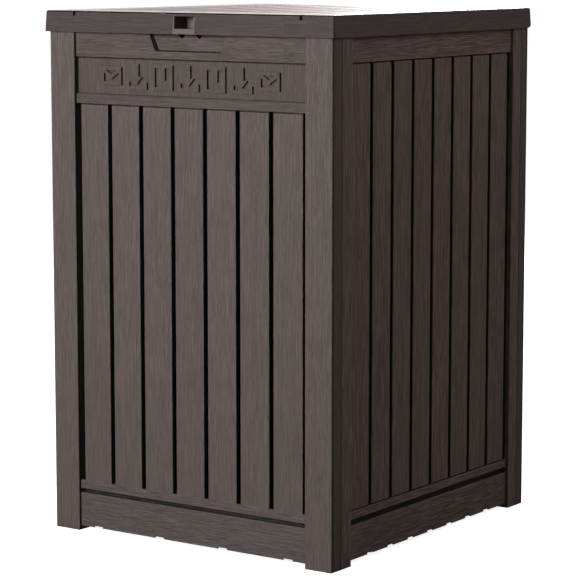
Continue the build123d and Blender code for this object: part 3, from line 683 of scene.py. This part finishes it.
def lid_masks(wires, position, normal):
    """Places on the lid's shell that differ from the plain planks, by name.

    inner is the field inside the border, strip the dull band along each groove in it, groove the
    grooves' bottoms, notch the cuts in the front edge, rounded the edge all round the top, and
    corner the rounded upright edges beside the front. All but inner get painted shade.
    """
    parts = wires.split(position)
    aside = wires.size(parts["X"])
    inner = wires.times(
        wires.under(aside, HALF_WIDTH - LID_BORDER),
        wires.over(parts["Y"], FRONT_FACE + LID_BORDER),
        wires.under(parts["Y"], REAR_FACE - LID_BORDER),
    )
    # a groove lies in the middle of each pitch, where the share of the pitch is a half
    share = wires.math("FRACT", wires.math("DIVIDE", parts["X"], PLANK_PITCH))
    from_groove = wires.size(wires.minus(share, 0.5))
    strip = wires.times(inner, wires.ramp(from_groove, low=0.04, high=0.16, start=1.0, end=0.0))
    deep = wires.ramp(parts["Z"], low=LID_TOP - 0.0016, high=LID_TOP - 0.0008, start=1.0, end=0.0)
    from_notch = wires.size(wires.minus(aside, OUTER_GROOVE))
    return {
        "inner": inner,
        "strip": strip,
        "groove": wires.times(wires.over(normal["Z"], 0.5), deep),
        "notch": wires.times(
            wires.under(from_notch, NOTCH_HALF_WIDTH),
            wires.over(parts["Z"], LID_TOP - NOTCH_HEIGHT),
        ),
        "rounded": wires.times(
            wires.ramp(normal["Z"], low=0.2, high=0.4),
            wires.ramp(normal["Z"], low=0.8, high=0.95, start=1.0, end=0.0),
        ),
        "corner": wires.times(
            wires.ramp(wires.size(normal["X"]), low=0.5, high=0.7),
            wires.under(parts["Y"], LID_FRONT + LID_CORNER),
        ),
    }


class DROPBOX_OT_lid_shell(FinishOperator):
    """Satin grained resin on the lid's shell"""

    bl_idname = "dropbox.lid_shell"
    bl_label = "Lid Shell"

    def execute(self, context):
        resin = context.scene.drop_box_resin
        material, wires, shader, position = start_material("lid resin")
        normal = wires.facing()
        # grain runs back along the planks, and across on the front and rear of the skirt
        endwise = wires.over(wires.size(normal["Y"]), 0.75)
        stretch = wires.blend(
            endwise, grain_stretch(resin, "Y"), grain_stretch(resin, "X"), kind="VECTOR"
        )
        plank = wires.math("FLOOR", wires.math("DIVIDE", wires.split(position)["X"], PLANK_PITCH))
        board = wires.plus(plank, wires.times(endwise, LID_EDGE_BOARD))
        grain = use_group(wires, "moulded grain", Position=position, Stretch=stretch, Board=board)
        tone = use_group(wires, "tone patches", Position=position, Board=board)
        cavity_shade = use_group(wires, "cavity mask", Reach=0.005)
        dust = use_group(wires, "dust film", Position=position, Amount=resin.dust)
        places = lid_masks(wires, position, normal)
        # painted shade on grooves, notches, strips, the rounded top edge and the front corners; inner
        # is a darker tone
        shares = {
            "groove": 0.9, "notch": 0.97, "strip": 0.6, "inner": 0.2, "rounded": 0.9, "corner": 0.9,
        }
        masks = [(cavity_shade["Mask"], 0.9)]
        masks += [(places[name], share) for name, share in shares.items()]
        resin_colour(wires, shader, resin.lid_colour, grain, tone["Tone"], masks, dust["Mask"])
        # satin on top, glossier on the rounded edge, and dull on the skirt, strips and notches
        plain = 0.34
        skirt = wires.ramp(normal["Z"], low=0.1, high=0.3, start=0.42, end=0.0)
        wires.feed(shader.inputs["Roughness"], wires.plus(
            wires.times(places["inner"], 0.08), plain,
            wires.times(places["strip"], 0.5),
            wires.times(grain["Streak"], -0.06),
            skirt,
            wires.times(places["rounded"], -0.22),
            wires.times(places["notch"], 0.3),
        ))
        raise_grain(wires, shader, grain["Height"], 0.3 * resin.grain_depth)
        give("lid_shell", material)
        return {"FINISHED"}


def plain_moulding(name, colour, roughness, fleck_scale, depth):
    """Plain resin or rubber with the fine texture of a blasted mould."""
    material, wires, shader, position = start_material(name)
    spread = 0.06  # of the roughness, either way
    fleck = wires.noise(position, fleck_scale, detail=3.0, roughness=0.6)
    tone = use_group(wires, "tone patches", Position=position, Board=PLAIN_BOARD)
    worn_edge_highlight = use_group(wires, "worn edges", Position=position, Radius=0.0009)
    cavity_shade = use_group(wires, "cavity mask", Reach=0.006)
    dust = use_group(wires, "dust film", Position=position, Amount=0.06)
    patches = wires.ramp(tone["Tone"], low=0.3, high=0.7, end=0.3)
    body = wires.blend(wires.ramp(fleck, 0.3, 0.7), tinted(colour, 0.86), tinted(colour, 1.14))
    body = wires.blend(patches, body, tinted(colour, 0.8))
    # painted highlight on the worn edges, and painted shade in cavities
    body = wires.blend(wires.times(worn_edge_highlight["Mask"], 0.45), body, tinted(colour, 1.8))
    body = wires.blend(wires.times(cavity_shade["Mask"], 0.6), body, tinted(colour, 0.2))
    wires.feed(shader.inputs["Base Color"], wires.blend(dust["Mask"], body, DUST_COLOUR))
    wires.feed(shader.inputs["Roughness"], wires.ramp(
        fleck, low=0.2, high=0.8, start=roughness - spread, end=roughness + spread
    ))
    raise_grain(wires, shader, fleck, depth, strength=0.5)
    return material


class DROPBOX_OT_inside(FinishOperator):
    """Plain moulded resin on the floor and the lid's liner"""

    bl_idname = "dropbox.inside"
    bl_label = "Floor and Liner"

    def execute(self, context):
        colour = context.scene.drop_box_resin.inside_colour
        give("floor_panel", plain_moulding(
            "floor resin", colour, roughness=0.6, fleck_scale=900.0, depth=0.0002
        ))
        give("lid_liner", plain_moulding(
            "liner resin", colour, roughness=0.5, fleck_scale=1200.0, depth=0.00015
        ))
        return {"FINISHED"}


class DROPBOX_OT_lock_pocket(FinishOperator):
    """Smooth resin on the padlock pocket"""

    bl_idname = "dropbox.lock_pocket"
    bl_label = "Lock Pocket"

    def execute(self, context):
        colour = context.scene.drop_box_resin.colour
        give("lock_pocket", plain_moulding(
            "lock resin", colour, roughness=0.5, fleck_scale=1500.0, depth=0.0001
        ))
        return {"FINISHED"}


class DROPBOX_OT_foot_caps(FinishOperator):
    """Black moulded caps in the posts' feet"""

    bl_idname = "dropbox.foot_caps"
    bl_label = "Foot Caps"

    def execute(self, context):
        colour = context.scene.drop_box_hardware.cap_colour
        material = plain_moulding(
            "cap resin", colour, roughness=0.55, fleck_scale=1000.0, depth=0.0002
        )
        for corner in ("front_left", "front_right", "rear_left", "rear_right"):
            give(f"{corner}_foot_cap", material)
        return {"FINISHED"}


class DROPBOX_OT_bumpers(FinishOperator):
    """Soft black rubber on the lid's bumpers"""

    bl_idname = "dropbox.bumpers"
    bl_label = "Lid Bumpers"

    def execute(self, context):
        colour = context.scene.drop_box_hardware.rubber_colour
        give("lid_bumpers", plain_moulding(
            "bumper rubber", colour, roughness=0.8, fleck_scale=1600.0, depth=0.0001
        ))
        return {"FINISHED"}


def plated_steel(name, colour, drawn_scale):
    """Zinc plate: bright, with fine drawn lines and duller patches.

    drawn_scale is how fine the lines are along each axis; they run where it is least.
    """
    material, wires, shader, position = start_material(name)
    place = wires.vector("MULTIPLY", position, drawn_scale)
    drawn = wires.noise(place, scale=1.0, detail=3.0, roughness=0.6)
    dull = wires.noise(position, scale=240.0, roughness=0.6)
    body = wires.blend(wires.ramp(drawn, 0.3, 0.7), tinted(colour, 0.8), tinted(colour, 1.1))
    body = wires.blend(wires.ramp(dull, low=0.45, high=0.75, end=0.5), body, DULL_ZINC)
    wires.feed(shader.inputs["Base Color"], body)
    rough = wires.ramp(dull, low=0.3, high=0.7, start=0.28, end=0.5)
    wires.feed(shader.inputs["Roughness"], rough)
    shader.inputs["Metallic"].default_value = 1.0
    raise_grain(wires, shader, drawn, depth=0.00006, strength=0.4)
    return material


class DROPBOX_OT_screws(FinishOperator):
    """Zinc-plated steel on all the screws"""

    bl_idname = "dropbox.screws"
    bl_label = "Screws"

    def execute(self, context):
        colour = context.scene.drop_box_hardware.zinc_colour
        material = plated_steel("screw zinc", colour, (3000.0, 3000.0, 900.0))
        for node in ("front_corner_screws", "rear_corner_screws", "floor_screws", "liner_screws"):
            give(node, material)
        return {"FINISHED"}


class DROPBOX_OT_hinge_pins(FinishOperator):
    """Drawn steel on the hinge pins and their clips"""

    bl_idname = "dropbox.hinge_pins"
    bl_label = "Hinge Pins"

    def execute(self, context):
        colour = context.scene.drop_box_hardware.zinc_colour
        material = plated_steel("pin steel", colour, (120.0, 4000.0, 4000.0))
        for node in ("left_hinge_pin", "right_hinge_pin", "hinge_pin_clips"):
            give(node, material)
        return {"FINISHED"}


# ---------------------------------------------------------------------------------- stage
def floor_paint(tone):
    """Matt paint that looks pale, and throws little light back on the box."""
    material, wires, shader, position = start_material("floor paint")
    mottle = wires.noise(position, scale=3.0, detail=3.0)
    sight = wires.put("ShaderNodeLightPath").outputs["Is Camera Ray"]
    paint = wires.blend(mottle, tinted((tone, tone, tone), 0.985), tinted((tone, tone, tone), 1.0))
    wires.feed(shader.inputs["Base Color"], wires.blend(sight, FLOOR_BOUNCE, paint))
    wires.feed(shader.inputs["Emission Color"], wires.blend(sight, BLACK, FLOOR_GLOW))
    shader.inputs["Emission Strength"].default_value = 1.0
    shader.inputs["Roughness"].default_value = 0.9
    shader.inputs["Specular IOR Level"].default_value = 0.1
    return material


def add_softbox(name, power, place, width, colour):
    """A square soft lamp that points at the box."""
    lamp = bpy.data.lights.new(name, "AREA")
    lamp.energy = power
    lamp.color = colour
    lamp.size = width
    stand = bpy.data.objects.new(name, lamp)
    stand.location = place
    aim = Vector(place) - Vector(LAMP_TARGET)
    stand.rotation_euler = aim.to_track_quat("Z", "Y").to_euler()
    stand.visible_camera = False
    bpy.context.scene.collection.objects.link(stand)


def add_room(scene, room_light):
    """A white room to look at, lit by a bright backdrop and a dim ceiling."""
    world = bpy.data.worlds.new("studio")
    world.use_nodes = True
    scene.world = world
    wires = Wiring(world.node_tree)
    background = world.node_tree.nodes["Background"]
    direction = wires.put("ShaderNodeTexCoord").outputs["Generated"]
    towards = wires.vector("DOT_PRODUCT", direction, BACKDROP_DIRECTION)
    backdrop = wires.ramp(towards, low=0.72, high=0.96, end=BACKDROP_STRENGTH)
    height = wires.split(direction)["Z"]
    ceiling = wires.ramp(height, low=0.15, high=0.6, start=room_light, end=CEILING_STRENGTH)
    light = wires.plus(backdrop, ceiling)
    sight = wires.put("ShaderNodeLightPath").outputs["Is Camera Ray"]
    wires.feed(background.inputs["Strength"], wires.math("MAXIMUM", light, sight))
    wires.feed(background.inputs["Color"], wires.blend(sight, ROOM_TINT, WHITE))


def add_camera(scene, lens):
    """The camera, in front of the box's right corner and a little above it."""
    camera = bpy.data.cameras.new("camera")
    camera.lens = lens
    camera.sensor_width = SENSOR_WIDTH
    camera.clip_end = CLIP_END
    stand = bpy.data.objects.new("camera", camera)
    stand.location = CAMERA_PLACE
    stand.rotation_euler = (CAMERA_TILT, 0.0, CAMERA_TURN)
    scene.collection.objects.link(stand)
    scene.camera = stand


class DROPBOX_OT_stage(FinishOperator):
    """Pale floor, soft studio lamps, room light and camera"""

    bl_idname = "dropbox.stage"
    bl_label = "Stage"

    def execute(self, context):
        scene = context.scene
        settings = scene.drop_box_stage
        bpy.ops.mesh.primitive_circle_add(vertices=96, radius=FLOOR_RADIUS, fill_type="NGON")
        floor = context.object
        floor.name = "studio_floor"
        floor.data.materials.append(floor_paint(settings.floor_tone))
        for name, strength, place, width, colour in LAMPS:
            add_softbox(name, getattr(settings, strength), place, width, colour)
        add_room(scene, settings.room_light)
        add_camera(scene, settings.lens)
        scene.view_settings.view_transform = "Standard"
        return {"FINISHED"}


class DROPBOX_PT_panel(bpy.types.Panel):
    """Lists the finishes and their settings."""

    bl_idname = "DROPBOX_PT_panel"
    bl_label = "Parcel Drop Box"
    bl_space_type = "VIEW_3D"
    bl_region_type = "UI"
    bl_category = "Drop Box"

    def draw(self, context):
        column = self.layout.column()
        for owner in ("drop_box_resin", "drop_box_hardware", "drop_box_stage"):
            group = getattr(context.scene, owner)
            for name in group.bl_rna.properties.keys():
                if name not in ("rna_type", "name"):
                    column.prop(group, name)
        for operator in OPERATORS:
            column.operator(operator.bl_idname)


SETTINGS = {
    "drop_box_resin": ResinSettings,
    "drop_box_hardware": HardwareSettings,
    "drop_box_stage": StageSettings,
}
OPERATORS = (
    DROPBOX_OT_stage,
    DROPBOX_OT_front_wall,
    DROPBOX_OT_rear_wall,
    DROPBOX_OT_side_walls,
    DROPBOX_OT_sign,
    DROPBOX_OT_inside,
    DROPBOX_OT_foot_caps,
    DROPBOX_OT_lid_shell,
    DROPBOX_OT_lock_pocket,
    DROPBOX_OT_bumpers,
    DROPBOX_OT_screws,
    DROPBOX_OT_hinge_pins,
)
GROUP_BUILDERS = (
    build_moulded_grain,
    build_board_layout,
    build_groove_mask,
    build_cavity_shade,
    build_worn_edges_and_highlight,
    build_dust_film,
    build_tone_patches,
)


def register():
    """Register the settings, operators and panel."""
    for owner, settings in SETTINGS.items():
        bpy.utils.register_class(settings)
        setattr(bpy.types.Scene, owner, bpy.props.PointerProperty(type=settings))
    for cls in (*OPERATORS, DROPBOX_PT_panel):
        bpy.utils.register_class(cls)


def unregister():
    """Take them out again."""
    for cls in reversed((*OPERATORS, DROPBOX_PT_panel)):
        bpy.utils.unregister_class(cls)
    for owner, settings in SETTINGS.items():
        delattr(bpy.types.Scene, owner)
        bpy.utils.unregister_class(settings)


def main():
    """Build every finish and the stage."""
    register()
    for build in GROUP_BUILDERS:
        build()
    for operator in OPERATORS:
        group, name = operator.bl_idname.split(".")
        getattr(getattr(bpy.ops, group), name)()


if __name__ == "__main__":
    main()
